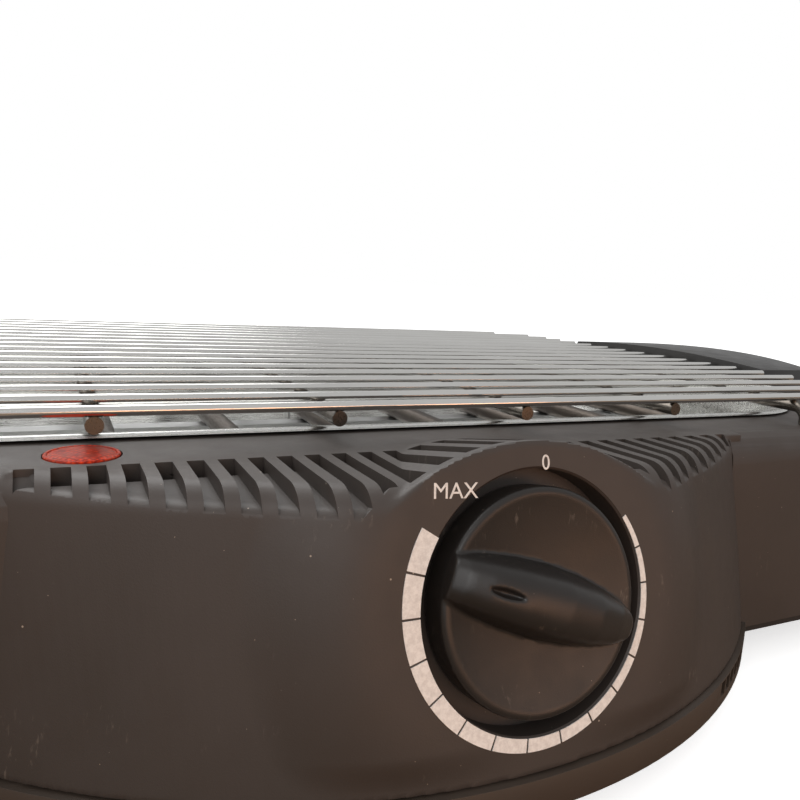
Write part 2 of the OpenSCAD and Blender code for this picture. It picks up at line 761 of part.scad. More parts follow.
module grate_bars() {
    color("#bdbcb8") at_body() for (i = [0 : bar_count - 1])
        translate([-reach_x(bar_y(i)), bar_y(i), bar_z]) rotate([0, 90, 0])
            cylinder(d = bar_d, h = 2 * reach_x(bar_y(i)), $fn = 24);
}

// A wire under the bars. A footed wire turns down at both ends to stand on the deck.
module rail(x, footed) {
    bend = rail_d * 1.1;
    skip = bar_count % 2 == 0 ? 0.5 : 0;
    half = (bars_met(x) - skip) * bar_pitch + 1;
    translate([0, -half, rail_z]) rotate([-90, 0, 0]) cylinder(d = rail_d, h = 2 * half, $fn = 24);
    if (footed)
        for (side = [0, 180])
            rotate([0, 0, side]) translate([0, half, rail_z - bend]) {
                rotate([90, 0, 90]) rotate_extrude(angle = 90, $fn = 48)
                    translate([bend, 0]) circle(d = rail_d, $fn = 24);
                translate([0, bend, bend - rail_z + deck_z + seat])
                    cylinder(d = rail_d, h = max(eps, rail_z - bend - deck_z - seat), $fn = 24);
            }
}

module grate_rails() {
    color("#b4b3af") at_body() for (k = [-rail_last : rail_last])
        translate([k * rail_pitch, 0, 0]) rail(abs(k) * rail_pitch, abs(k) == rail_last - 1);
}

housing();
box_cover();
base_plate();
reflector_pan();
heat_shield();
heating_element();
element_bushes();
element_terminals();
element_rests();
thermal_cutout();
thermostat();
thermostat_bracket();
thermostat_screws();
knob_shaft();
control_knob();
dial_scale();
indicator_lens();
lamp_holder();
neon_lamp();
terminal_block();
cord_bush();
handle_left();
handle_right();
handle_screws();
base_screws();
cover_screws();
foot_front_left();
foot_front_right();
foot_rear_left();
foot_rear_right();
grate_bars();
grate_rails();
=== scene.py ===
# %% [markdown]
# Electric tabletop grill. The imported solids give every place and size; this file gives the
# looks. It reads as a lesson: each text cell says what a piece or finish is on the real
# object, how it could be made in Blender, and why this way was chosen.

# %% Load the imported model
import json
import math

import bpy
import numpy as np
from mathutils import Matrix, Vector

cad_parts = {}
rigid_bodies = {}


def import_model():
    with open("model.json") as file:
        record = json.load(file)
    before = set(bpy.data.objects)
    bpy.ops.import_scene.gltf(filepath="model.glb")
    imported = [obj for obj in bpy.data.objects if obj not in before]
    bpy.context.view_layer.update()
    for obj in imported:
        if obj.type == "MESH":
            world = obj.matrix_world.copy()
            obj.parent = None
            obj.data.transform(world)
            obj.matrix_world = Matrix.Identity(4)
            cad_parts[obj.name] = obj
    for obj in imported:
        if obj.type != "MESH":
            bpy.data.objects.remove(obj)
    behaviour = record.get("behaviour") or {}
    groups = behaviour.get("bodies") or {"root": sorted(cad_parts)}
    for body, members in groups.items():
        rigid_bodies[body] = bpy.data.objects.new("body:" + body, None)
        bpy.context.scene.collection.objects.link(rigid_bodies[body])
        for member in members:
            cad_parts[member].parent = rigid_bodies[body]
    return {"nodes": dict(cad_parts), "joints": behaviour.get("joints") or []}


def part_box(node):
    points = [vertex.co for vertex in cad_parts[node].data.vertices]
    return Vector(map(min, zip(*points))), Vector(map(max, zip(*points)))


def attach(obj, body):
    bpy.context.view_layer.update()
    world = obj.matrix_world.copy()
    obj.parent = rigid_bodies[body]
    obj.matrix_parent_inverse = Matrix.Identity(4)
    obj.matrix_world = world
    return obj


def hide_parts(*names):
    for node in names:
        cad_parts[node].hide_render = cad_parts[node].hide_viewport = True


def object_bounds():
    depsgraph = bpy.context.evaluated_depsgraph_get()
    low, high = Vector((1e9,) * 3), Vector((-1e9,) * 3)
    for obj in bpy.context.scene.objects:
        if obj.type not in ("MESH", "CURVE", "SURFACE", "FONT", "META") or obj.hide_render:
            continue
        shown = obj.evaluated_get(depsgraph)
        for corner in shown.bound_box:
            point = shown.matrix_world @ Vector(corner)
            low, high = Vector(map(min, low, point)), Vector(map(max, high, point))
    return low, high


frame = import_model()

cad_box = [list(corner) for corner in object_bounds()]

# %% [markdown]
# Places. The base plate is centred on the housing, so its box gives the middle. The knob's
# hinge gives the dial's centre and the way the dial's face looks. One matrix then takes
# dial sizes (across, up the face, out of it) to the object's frame.

# %% Named places and sizes
MM = 0.001
plate_low, plate_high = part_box("base_plate")
MIDDLE_Y = (plate_low.y + plate_high.y) / 2
WALL_Y = plate_low.y - 0.5 * MM             # the main front wall at its foot
RIM_LOW, RIM_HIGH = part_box("reflector_pan")
PAN_SHEET = 0.8 * MM
DECK_Z = RIM_HIGH.z - PAN_SHEET
SEAM_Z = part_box("box_cover")[1].z

knob_hinge = [j for j in frame["joints"] if j["name"] == "knob_turn"][0]
DIAL = Vector(knob_hinge["pos_m"])
FACE_OUT = Vector(knob_hinge["axis"]).normalized()
FACE_UP = Vector((0, FACE_OUT.z, -FACE_OUT.y))
DIAL_FRAME = Matrix.Translation(DIAL) @ Matrix((Vector((1, 0, 0)), FACE_UP, FACE_OUT)).transposed().to_4x4()
FACE_SLOPE = FACE_OUT.z / -FACE_OUT.y       # how far the face leans back per unit of height
print("deck at", round(DECK_Z / MM, 2), "mm, dial at", [round(c / MM, 1) for c in DIAL])

# %% [markdown]
# The camera stands where the photographer's did: left of the dial, a little above the
# grate, close to the object. It was worked out from the parallel bars and the round dial.
# A close camera with a wide lens gives the strong perspective of the bars.

# %% Camera
CAMERA_AT = (-94.1 * MM, MIDDLE_Y - 297 * MM, 120 * MM)
CAMERA_RIGHT = Vector((0.902, -0.428, 0.060)).normalized()
CAMERA_AHEAD = Vector((0.432, 0.888, -0.161)).normalized()
SENSOR_MM = 36
FOCAL_PX, IMAGE_PX = 731, 800


def aim(right, ahead):
    """A camera's turn from its right-hand and forward directions."""
    back = -ahead
    up = back.cross(right).normalized()
    return Matrix((up.cross(back), up, back)).transposed().to_4x4()


camera_data = bpy.data.cameras.new("camera")
camera_data.sensor_width = SENSOR_MM
camera_data.lens = SENSOR_MM * FOCAL_PX / IMAGE_PX
camera_data.clip_start = 5 * MM
camera = bpy.data.objects.new("camera", camera_data)
camera.matrix_world = Matrix.Translation(CAMERA_AT) @ aim(CAMERA_RIGHT, CAMERA_AHEAD)
bpy.context.scene.collection.objects.link(camera)
bpy.context.scene.camera = camera
print("lens", round(camera_data.lens, 1), "mm")

# %% [markdown]
# Small helpers. Operators work on what is selected, and the import leaves everything
# selected, so each step takes one object alone. A modifier is applied as soon as it is
# made, so the mesh holds the shape that shows.

# %% Helpers for modelling


def take(*pieces):
    """Leaves only these objects selected, the first one active."""
    bpy.ops.object.select_all(action="DESELECT")
    for piece in pieces:
        piece.select_set(True)
    bpy.context.view_layer.objects.active = pieces[0]


def settle(piece):
    """Puts a piece's place, turn and size into its mesh."""
    take(piece)
    bpy.ops.object.transform_apply(location=True, rotation=True, scale=True)
    return piece


def shape(piece, kind, **settings):
    """Adds one modifier and applies it."""
    take(piece)
    modifier = piece.modifiers.new(kind.title(), kind)
    for name, value in settings.items():
        setattr(modifier, name, value)
    bpy.ops.object.modifier_apply(modifier=modifier.name)
    return piece


def combine(piece, other, operation):
    """Boolean of two closed meshes. The second one is used up."""
    shape(piece, "BOOLEAN", object=other, operation=operation, solver="MANIFOLD")
    bpy.data.objects.remove(other)
    return piece


def join(name, pieces):
    """Several objects as one."""
    take(*pieces)
    if len(pieces) > 1:
        bpy.ops.object.join()
    pieces[0].name = name
    return pieces[0]


def primitive(kind, name, **settings):
    """A start form from Blender's own primitives, with its place in its mesh."""
    getattr(bpy.ops.mesh, f"primitive_{kind}_add")(**settings)
    piece = bpy.context.object
    piece.name = name
    return settle(piece)


def block(name, low, high):
    """A box between two corners."""
    low, high = Vector(low), Vector(high)
    piece = primitive("cube", name, size=1)
    piece.data.transform(Matrix.Translation((low + high) / 2) @ Matrix.Diagonal((*(high - low), 1)))
    return piece


def turned(name, profile, sides):
    """A closed form turned about Z: a disc, drawn up ring by ring to each (radius, height)."""
    radius, height = profile[0]
    bpy.ops.mesh.primitive_circle_add(vertices=sides, radius=radius, fill_type="NGON",
                                      location=(0, 0, height))
    piece = settle(bpy.context.object)
    piece.name = name
    bpy.ops.object.mode_set(mode="EDIT")
    bpy.ops.mesh.select_all(action="SELECT")
    for next_radius, next_height in profile[1:]:
        rise = {"value": (0, 0, next_height - height)}
        bpy.ops.mesh.extrude_region_move(TRANSFORM_OT_translate=rise)
        ratio = next_radius / radius
        bpy.ops.transform.resize(value=(ratio, ratio, 1), center_override=(0, 0, next_height))
        radius, height = next_radius, next_height
    bpy.ops.mesh.select_all(action="SELECT")
    bpy.ops.mesh.normals_make_consistent(inside=False)
    bpy.ops.object.mode_set(mode="OBJECT")
    return piece


def quarter(radius, height, round_r, steps=6):
    """Profile points that round a top edge: from the wall in to the top."""
    angles = [math.radians(90 * (i + 1) / steps) for i in range(steps)]
    return [(radius - round_r * (1 - math.cos(a)), height - round_r * (1 - math.sin(a))) for a in angles]


def points(piece):
    """The vertices as an array, one row each."""
    flat = np.empty(len(piece.data.vertices) * 3)
    piece.data.vertices.foreach_get("co", flat)
    return flat.reshape(-1, 3)


def set_points(piece, places):
    """Moves the vertices to the rows of an array."""
    piece.data.vertices.foreach_set("co", np.ascontiguousarray(places, float).ravel())
    piece.data.update()


def smooth(piece, degrees=35):
    """Smooth shading that keeps edges sharper than the angle."""
    take(piece)
    bpy.ops.object.shade_smooth_by_angle(angle=math.radians(degrees))
    return piece


def merged_copy(node, name):
    """A copy of a solid's mesh with its loose triangles merged into one skin."""
    source = frame["nodes"][node]
    piece = bpy.data.objects.new(name, source.data.copy())
    piece.data.materials.clear()
    bpy.context.scene.collection.objects.link(piece)
    take(piece)
    bpy.ops.object.mode_set(mode="EDIT")
    bpy.ops.mesh.select_all(action="SELECT")
    bpy.ops.mesh.remove_doubles(threshold=0.004 * MM)
    bpy.ops.mesh.customdata_custom_splitnormals_clear()
    bpy.ops.object.mode_set(mode="OBJECT")
    return piece


def dissolve_flat(piece, degrees=0.6):
    """Joins the triangles of each flat face."""
    take(piece)
    bpy.ops.object.mode_set(mode="EDIT")
    bpy.ops.mesh.select_all(action="SELECT")
    bpy.ops.mesh.dissolve_limited(angle_limit=math.radians(degrees))
    bpy.ops.object.mode_set(mode="OBJECT")
    return piece


def to_dial(places):
    """Rows of points from the object's frame to the dial's."""
    inverse = np.array(DIAL_FRAME.inverted())
    return places @ inverse[:3, :3].T + inverse[:3, 3]


def from_dial(places):
    """Rows of points from the dial's frame to the object's."""
    matrix = np.array(DIAL_FRAME)
    return places @ matrix[:3, :3].T + matrix[:3, 3]


def place_on_dial(piece):
    """Moves a mesh that was made in the dial's sizes onto the dial."""
    piece.data.transform(DIAL_FRAME)
    return piece


def finish_piece(piece, body, slot, material, *nodes):
    """Rides and dresses a finished piece, and hides the solids it stands for."""
    piece.data.materials.clear()
    piece.data.materials.append(material)
    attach(piece, body)
    if nodes:
        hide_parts(*nodes)
    print(piece.name, len(piece.data.polygons), "faces")
    return piece


# %% [markdown]
# Colours are written as the hex values that a colour picker shows, and one function turns
# them to the linear numbers that shaders use. One helper adds a node with its settings and
# its links. Patterns read Object coordinates in metres, so a pattern of size s millimetres
# has a scale of 1000 / s.

# %% Helpers for materials


def colour(hex_value):
    """sRGB hex to linear RGBA."""
    parts = [int(hex_value[i : i + 2], 16) / 255 for i in (1, 3, 5)]
    linear = [c / 12.92 if c <= 0.04045 else ((c + 0.055) / 1.055) ** 2.4 for c in parts]
    return (*linear, 1)


def per_mm(size):
    """The texture scale that repeats a pattern every size millimetres."""
    return 1000 / size


def put(tree, kind, values=None, **settings):
    """One node: its settings, then its inputs, which may be numbers or other nodes' outputs."""
    node = tree.nodes.new(kind)
    for name, value in settings.items():
        setattr(node, name, value)
    for socket, value in (values or {}).items():
        if isinstance(value, bpy.types.NodeSocket):
            tree.links.new(value, node.inputs[socket])
        else:
            node.inputs[socket].default_value = value
    return node


def new_material(name):
    """An empty material: its tree, its surface shader and its Object coordinates."""
    material = bpy.data.materials.new(name)
    material.use_nodes = True
    tree = material.node_tree
    tree.nodes.clear()
    shader = put(tree, "ShaderNodeBsdfPrincipled")
    put(tree, "ShaderNodeOutputMaterial", {"Surface": shader.outputs["BSDF"]})
    place = put(tree, "ShaderNodeTexCoord").outputs["Object"]
    return material, tree, shader, place


def noise(tree, place, size, detail=2.0, roughness=0.5, stretch=None):
    """Noise with features of a size in millimetres, stretched along the axes if asked."""
    if stretch:
        place = put(tree, "ShaderNodeMapping", {"Vector": place, "Scale": stretch}).outputs["Vector"]
    values = {"Vector": place, "Scale": per_mm(size), "Detail": detail, "Roughness": roughness}
    return put(tree, "ShaderNodeTexNoise", values).outputs["Fac"]


def remap(tree, value, low, high, to_low=0.0, to_high=1.0):
    """Stretches a range of a value to another range, and stops at its ends."""
    values = {"Value": value, "From Min": low, "From Max": high, "To Min": to_low, "To Max": to_high}
    return put(tree, "ShaderNodeMapRange", values).outputs["Result"]


def mix(tree, factor, first, second):
    """Blends two colours."""
    node = put(tree, "ShaderNodeMix", data_type="RGBA")
    for socket, value in ((node.inputs[0], factor), (node.inputs[6], first), (node.inputs[7], second)):
        if isinstance(value, bpy.types.NodeSocket):
            tree.links.new(value, socket)
        else:
            socket.default_value = value
    return node.outputs[2]


def multiply(tree, first, second):
    """The product of two values."""
    return put(tree, "ShaderNodeMath", {0: first, 1: second}, operation="MULTIPLY").outputs[0]


def specks(tree, place, spacing, radius, share):
    """Small round dots: one in each cell of a spacing, kept in a share of the cells."""
    cells = put(tree, "ShaderNodeTexVoronoi", {"Vector": place, "Scale": per_mm(spacing)})
    dot = remap(tree, cells.outputs["Distance"], radius / spacing, 0.6 * radius / spacing)
    chosen = put(tree, "ShaderNodeSeparateColor", {"Color": cells.outputs["Color"]}).outputs["Red"]
    kept = put(tree, "ShaderNodeMath", {0: chosen, 1: share}, operation="LESS_THAN").outputs[0]
    return multiply(tree, dot, kept)


def bump(tree, height, depth_mm, strength=1.0):
    """A height pattern, with its depth in millimetres, as a shading normal."""
    values = {"Height": height, "Distance": depth_mm * MM, "Strength": strength}
    return put(tree, "ShaderNodeBump", values).outputs["Normal"]


# %% [markdown]
# Housing plastic: glass-filled polypropylene, injection moulded in a spark-eroded tool. The
# tool leaves a fine even grain that scatters highlights, so the surface is dark and satin,
# lighter at grazing angles, with a little dust that sits on it. The grain is about 0.4 mm.
# The other plastics are made the same way, with their own tone, sheen and wear, so one
# function makes them all.

# %% Moulded plastics


def moulded_plastic(name, dark, light, rough, grain_mm, dust=0.0, scuffs=0.0):
    """A grained plastic: a cloudy tone, dust specks, scuffs in patches and an uneven sheen."""
    material, tree, shader, place = new_material(name)
    cloud = noise(tree, place, 60, 3)
    tone = mix(tree, remap(tree, cloud, 0.35, 0.65), colour(dark), colour(light))
    if dust:
        fine = specks(tree, place, 1.7, 0.11, 0.10 * dust)
        coarse = specks(tree, place, 5.0, 0.26, 0.16 * dust)
        marks = put(tree, "ShaderNodeMath", {0: fine, 1: coarse}, operation="MAXIMUM").outputs[0]
        tone = mix(tree, multiply(tree, marks, 0.65), tone, colour("#b8ab9c"))
    if scuffs:
        streak = remap(tree, noise(tree, place, 1.1, 3, 0.6, (1.0, 1.0, 0.25)), 0.60, 0.72)
        patch = remap(tree, noise(tree, place, 22, 2), 0.58, 0.72)
        scuff = multiply(tree, multiply(tree, streak, patch), scuffs)
        tone = mix(tree, scuff, tone, colour("#a79c90"))
    tree.links.new(tone, shader.inputs["Base Color"])
    sheen = noise(tree, place, 9, 3, 0.6)
    tree.links.new(remap(tree, sheen, 0.3, 0.7, rough - 0.05, rough + 0.05), shader.inputs["Roughness"])
    shader.inputs["IOR"].default_value = 1.49
    grain = noise(tree, place, grain_mm, 2, 0.6)
    tree.links.new(bump(tree, grain, 0.035, 0.55), shader.inputs["Normal"])
    return material


# Glass-filled polypropylene from a spark-eroded tool, dusty and a little scuffed.
housing_plastic = moulded_plastic("polypropylene_spark_grain", "#37312d", "#3e3733", 0.50, 0.42, 1.0, 0.25)
# The same plastic from another tool, a shade warmer.
cover_plastic = moulded_plastic("polypropylene_cover", "#3c332c", "#443a32", 0.52, 0.42, 0.6)
# Plain black polypropylene, moulded without a finish, for what lies underneath.
base_plastic = moulded_plastic("polypropylene_plain_black", "#221f1d", "#282523", 0.55, 0.5)
# Phenolic resin, compression moulded in a satin tool and rubbed by fingers.
knob_plastic = moulded_plastic("phenolic_satin_black", "#1c1917", "#23201e", 0.36, 0.30, 0.7, 0.5)
# Phenolic resin that stays cool in the hand, moulded with a duller satin.
handle_plastic = moulded_plastic("phenolic_handle_black", "#191716", "#1f1d1b", 0.42, 0.35, 0.4)
# Cream urea resin, moulded, of the thermostat, lamp holder and terminal block.
inner_plastic = moulded_plastic("urea_cream", "#cfc7b6", "#d8d1c2", 0.45, 0.5)
# Brown phenolic resin, moulded, of the thermal cutout's case.
inner_dark = moulded_plastic("phenolic_brown", "#5c524a", "#675c53", 0.45, 0.5)
# Nitrile rubber, compression moulded, of the feet and the cord bush.
black_rubber = moulded_plastic("nitrile_rubber", "#1b1a1a", "#222121", 0.75, 0.5, 0.6)
print("housing plastic:", len(housing_plastic.node_tree.nodes), "nodes")

# %% [markdown]
# Metals. Chrome plate on wire is smooth and mirrors its surroundings, with fine drawing
# marks along the wire. The pan is bright aluminised sheet, rolled, so its grain runs one
# way and its reflections are soft. The element's sheath has been heated, which leaves a dull
# brown-grey oxide.

# %% Metals


def metal(name, dark, light, rough, grain_mm, stretch, spread=0.06, depth_mm=0.01):
    """A metal with marks of its making stretched along one axis, in its sheen and its surface."""
    material, tree, shader, place = new_material(name)
    cloud = noise(tree, place, 30, 3)
    tree.links.new(mix(tree, cloud, colour(dark), colour(light)), shader.inputs["Base Color"])
    shader.inputs["Metallic"].default_value = 1.0
    grain = noise(tree, place, grain_mm, 3, 0.6, stretch)
    tree.links.new(remap(tree, grain, 0.3, 0.7, rough - spread, rough + spread), shader.inputs["Roughness"])
    tree.links.new(bump(tree, grain, depth_mm, 0.5), shader.inputs["Normal"])
    return material


# Drawn steel wire with bright chrome plate.
bar_chrome = metal("chrome_plated_wire", "#d4d3d0", "#e3e2df", 0.16, 0.6, (0.05, 1, 1))
# The same wire and plate as the bars, with the bars' shade painted into its colour as a dark brownish grey.
rail_chrome_painted_shade = metal("chrome_cross_wire_painted_shade", "#5c5751", "#706a63", 0.30, 0.6, (1, 0.05, 1))
# Aluminised steel sheet, rolled bright and then pressed.
pan_sheet = metal("aluminised_sheet_rolled", "#d2d2cf", "#e0e0dd", 0.26, 0.5, (0.06, 1, 1), 0.08)
# Hot-dip galvanised sheet, with faint spangles of a few millimetres.
inner_sheet = metal("galvanised_sheet", "#a9aaaa", "#bdbdbc", 0.38, 6.0, (1, 1, 1), 0.10)
# Steel tube, drawn round its filling and oxidised by heat.
sheath = metal("oxidised_element_sheath", "#4a443f", "#5d554e", 0.42, 0.8, (1, 0.2, 1), 0.08, 0.03)
# Cold-headed steel with bright zinc plate.
screw_zinc = metal("zinc_plated_steel", "#b4b3ad", "#c4c2ba", 0.30, 0.5, (1, 1, 1))
# Brass strip, stamped.
terminal_brass = metal("brass_strip", "#b89e5c", "#c8b072", 0.32, 0.5, (1, 0.2, 1))
print("bar chrome:", len(bar_chrome.node_tree.nodes), "nodes")

# %% [markdown]
# The printed marks are pad-printed ink: nearly flat white, a little thin and grey where the
# pad lifted. Steatite is an unglazed ceramic, warm white and dull. Both are blotchy and
# matt, so one function makes them. The lens and the lamp's glass each get their own.

# %% Ink, ceramic and glass


def matt(name, dark, light, rough, blotch_mm):
    """A dull blotchy surface."""
    material, tree, shader, place = new_material(name)
    blotch = remap(tree, noise(tree, place, blotch_mm, 4, 0.7), 0.38, 0.62)
    tree.links.new(mix(tree, blotch, colour(dark), colour(light)), shader.inputs["Base Color"])
    shader.inputs["Roughness"].default_value = rough
    shader.inputs["IOR"].default_value = 1.5
    tree.links.new(bump(tree, noise(tree, place, 0.3), 0.01, 0.4), shader.inputs["Normal"])
    return material


# Two-part pad-printing ink.
print_ink = matt("pad_printed_ink", "#d6d3cf", "#eae8e4", 0.6, 1.2)
# Pressed and fired steatite.
steatite = matt("steatite_ceramic", "#ddd6c6", "#e8e2d5", 0.7, 2.0)


def lens_plastic():
    """Clear red acrylic with a waffle of small pyramids moulded on its underside."""
    material, tree, shader, place = new_material("acrylic_red_waffle")
    diagonal = put(tree, "ShaderNodeMapping", {"Vector": place, "Rotation": (0, 0, math.radians(45))})
    values = {"Vector": diagonal.outputs["Vector"], "Scale": per_mm(1.1), "Randomness": 0.25}
    cells = put(tree, "ShaderNodeTexVoronoi", values, distance="CHEBYCHEV")
    depth = remap(tree, cells.outputs["Distance"], 0.05, 0.5)
    deep = mix(tree, depth, colour("#d93a10"), colour("#7a1408"))
    cloud = remap(tree, noise(tree, place, 4, 3), 0.35, 0.65)
    tone = mix(tree, multiply(tree, cloud, 0.3), deep, colour("#9a5a44"))
    tree.links.new(tone, shader.inputs["Base Color"])
    shader.inputs["Roughness"].default_value = 0.45
    shader.inputs["Specular IOR Level"].default_value = 0.15
    shader.inputs["IOR"].default_value = 1.49
    tree.links.new(bump(tree, depth, 0.10, 0.6), shader.inputs["Normal"])
    return material


def neon_glass():
    """The lamp's clear glass, pale orange where the electrodes shine through."""
    material, tree, shader, place = new_material("neon_lamp_glass")
    cloud = noise(tree, place, 3, 2)
    tree.links.new(mix(tree, cloud, colour("#f0d8c8"), colour("#e0a888")), shader.inputs["Base Color"])
    shader.inputs["Roughness"].default_value = 0.08
    shader.inputs["Transmission Weight"].default_value = 0.7
    return material


red_lens = lens_plastic()
lamp_glass = neon_glass()
print("lens:", len(red_lens.node_tree.nodes), "nodes")

# %% [markdown]
# The housing's main body keeps the shape of its solid: deck, leaning walls and round
# corners. Only the control box in front is modelled anew, so a copy of the solid is cut off
# along the main wall, and notched where the box's own strip of deck goes. A boolean with a
# plain box does each in one step.

# %% Housing body
NOTCH_HALF = 96 * MM                # half the width of the deck that the control box replaces
STRIP_HALF = 102 * MM               # half the width of the control box's own deck strip
STRIP_REAR = MIDDLE_Y - 117.6 * MM  # under the pan's rim
FLAT_EDGE = MIDDLE_Y - 135 * MM     # where the deck's flat ends and its round edge begins
BOX_SIDE = 125 * MM                 # the control box stays within this to each side
OUTSIDE = 10 * MM                   # cutters end this far outside the part
ABOVE_ALL = 200 * MM
housing_body = merged_copy("housing", "housing_body")
cut = block("cut", (-BOX_SIDE, cad_box[0][1] - OUTSIDE, -OUTSIDE), (BOX_SIDE, WALL_Y - 0.02 * MM, ABOVE_ALL))
combine(housing_body, cut, "DIFFERENCE")
cut = block("cut", (-NOTCH_HALF, WALL_Y - OUTSIDE, SEAM_Z), (NOTCH_HALF, STRIP_REAR - 0.3 * MM, ABOVE_ALL))
combine(housing_body, cut, "DIFFERENCE")
print("housing body:", len(housing_body.data.polygons), "faces")

# %% [markdown]
# The control box is the part of the moulding that the eye rests on: a bowed wall that leans
# back, a flat for the dial that melts into the bow, an arched hood, and a comb of ribs.
# Simple blocks are joined first. Their crossing edges get one soft radius from a remesh
# and smoothing, where bevels would be far harder, and the ribs are cut last.

# %% Control box: the plain blocks
BOX_R = 166 * MM                    # the bow's radius
BOX_AHEAD = 19.3 * MM               # its centre lies this far in front of the middle
BOX_ROUND = 5 * MM                  # its top edge
BOX_PROUD = 0.04 * MM               # keeps its top clear of the strip's
LEFT_SPREAD = 0.075                 # its left half is a little wider at the top
HOOD_R = 56.3 * MM
HOOD_RISE = 34.5 * MM               # the hood's top above the dial's centre, along the face
HOOD_LOW, HOOD_HIGH = DECK_Z - 16 * MM, DECK_Z + 30 * MM
HOOD_REAR, HOOD_AHEAD = -48 * MM, 20 * MM   # the barrel's ends, along the dial's axis
STRIP_FRONT = FLAT_EDGE - 6 * MM
STRIP_LOW = DECK_Z - 9 * MM
STRIP_PROUD = 0.01 * MM


def bow_block(name, bottom, top, round_edge):
    """The leaning bow between two heights, with its top edge rounded."""
    profile = [(BOX_R, bottom)]
    if round_edge:
        profile += [(BOX_R, top - round_edge)] + quarter(BOX_R, top, round_edge)
    else:
        profile += [(BOX_R, top)]
    piece = turned(name, profile, 360)
    places = points(piece)
    rise = places[:, 2] - SEAM_Z
    places[:, 1] += MIDDLE_Y - BOX_AHEAD + rise * FACE_SLOPE
    left = places[:, 0] < 0
    places[left, 0] *= 1 + LEFT_SPREAD * rise[left] / (DECK_Z - SEAM_Z)
    set_points(piece, places)
    take(piece)
    bpy.ops.object.mode_set(mode="EDIT")
    bpy.ops.mesh.select_all(action="SELECT")
    bpy.ops.mesh.bisect(plane_co=(0, FLAT_EDGE, 0), plane_no=(0, 1, 0), use_fill=True, clear_outer=True)
    bpy.ops.object.mode_set(mode="OBJECT")
    return piece


def barrel(name, radius, middle_up, near, far, sides=160):
    """A cylinder along the dial's axis, from near to far along it."""
    piece = primitive("cylinder", name, vertices=sides, radius=radius, depth=far - near,
                      location=(0, middle_up, (near + far) / 2))
    return place_on_dial(piece)


housing_front = bow_block("housing_front", SEAM_Z, DECK_Z + BOX_PROUD, BOX_ROUND)
hood = bow_block("hood", HOOD_LOW, HOOD_HIGH, 0)
combine(hood, barrel("hood_barrel", HOOD_R, HOOD_RISE - HOOD_R, HOOD_REAR, HOOD_AHEAD), "INTERSECT")
combine(housing_front, hood, "UNION")
strip = block("strip", (-STRIP_HALF, STRIP_FRONT, STRIP_LOW), (STRIP_HALF, STRIP_REAR, DECK_Z + STRIP_PROUD))
combine(housing_front, strip, "UNION")
print("control box block:", len(housing_front.data.polygons), "faces")

# %% [markdown]
# One even skin, then smoothing, which leaves a soft radius along the hood and the deck.
# After that the bow in front of the dial is drawn forward to the dial's plane: fully inside
# the printed ring, and fading to nothing over the next 27 mm, so no line shows where the
# flat ends. It fades to nothing at the seam as well, where the moulding meets the cover.
# The deck strip is set back to the deck's exact height, so it joins the body flush.

# %% Control box: skin and dial flat
VOXEL = 0.7 * MM
GROOVE_REAR = MIDDLE_Y - 140 * MM   # where the grooves begin
FLAT_R = 35.5 * MM                  # the dial's flat
FADE = 27 * MM                      # from the flat out to the plain bow
FOLLOWED = 0.9 * BOX_R              # the bow's curve is followed this far to each side
SEAM_KEEP, SEAM_FADE = 1 * MM, 8 * MM       # above the seam
REAR_KEEP, REAR_FADE = 4 * MM, 22 * MM      # behind the bow's face
FLUSH_BAND = 0.08 * MM              # skin this near the deck's height is set to it


def ease(t):
    """Rises smoothly from nothing to one."""
    t = np.clip(t, 0, 1)
    return t * t * (3 - 2 * t)


shape(housing_front, "REMESH", mode="VOXEL", voxel_size=VOXEL)
shape(housing_front, "SMOOTH", factor=0.5, iterations=2)


def draw_flat(piece):
    """Draws the skin round the dial out to the dial's plane."""
    places = points(piece)
    local = to_dial(places)
    spread = np.where(places[:, 0] < 0, LEFT_SPREAD * (places[:, 2] - SEAM_Z) / (DECK_Z - SEAM_Z), 0)
    across = np.clip(np.abs(local[:, 0]) / (1 + spread), 0, FOLLOWED)
    bow_depth = (BOX_R - np.sqrt(BOX_R**2 - across**2)) * -FACE_OUT.y
    radius = np.hypot(local[:, 0], local[:, 1])
    weight = 1 - ease((radius - FLAT_R) / FADE)
    weight *= ease((places[:, 2] - SEAM_Z - SEAM_KEEP) / SEAM_FADE)
    behind = -local[:, 2] - bow_depth
    weight *= 1 - ease((behind - REAR_KEEP) / REAR_FADE)
    local[:, 2] += weight * bow_depth
    set_points(piece, from_dial(local))


draw_flat(housing_front)
places = points(housing_front)
flush = (np.abs(places[:, 2] - DECK_Z) < FLUSH_BAND) & (places[:, 1] > GROOVE_REAR - 4 * MM)
places[flush, 2] = DECK_Z
set_points(housing_front, places)
print("skin:", len(housing_front.data.polygons), "faces")

# %% [markdown]
# The vent grooves run front to back at an even pitch. Between the ribs lies a lower form
# like the box itself, with a round edge of its own and a top that falls a little towards
# the front. So the grooves are plain boxes with that form taken away from them, and what
# is left is cut from the block. The form stands a little in front of the bow's wall, so
# each groove ends where the ribs' noses meet the wall. Each has a narrow slot at its rear
# that opens into the box. They stop just behind the dial's face, so the hood keeps a
# smooth front edge.

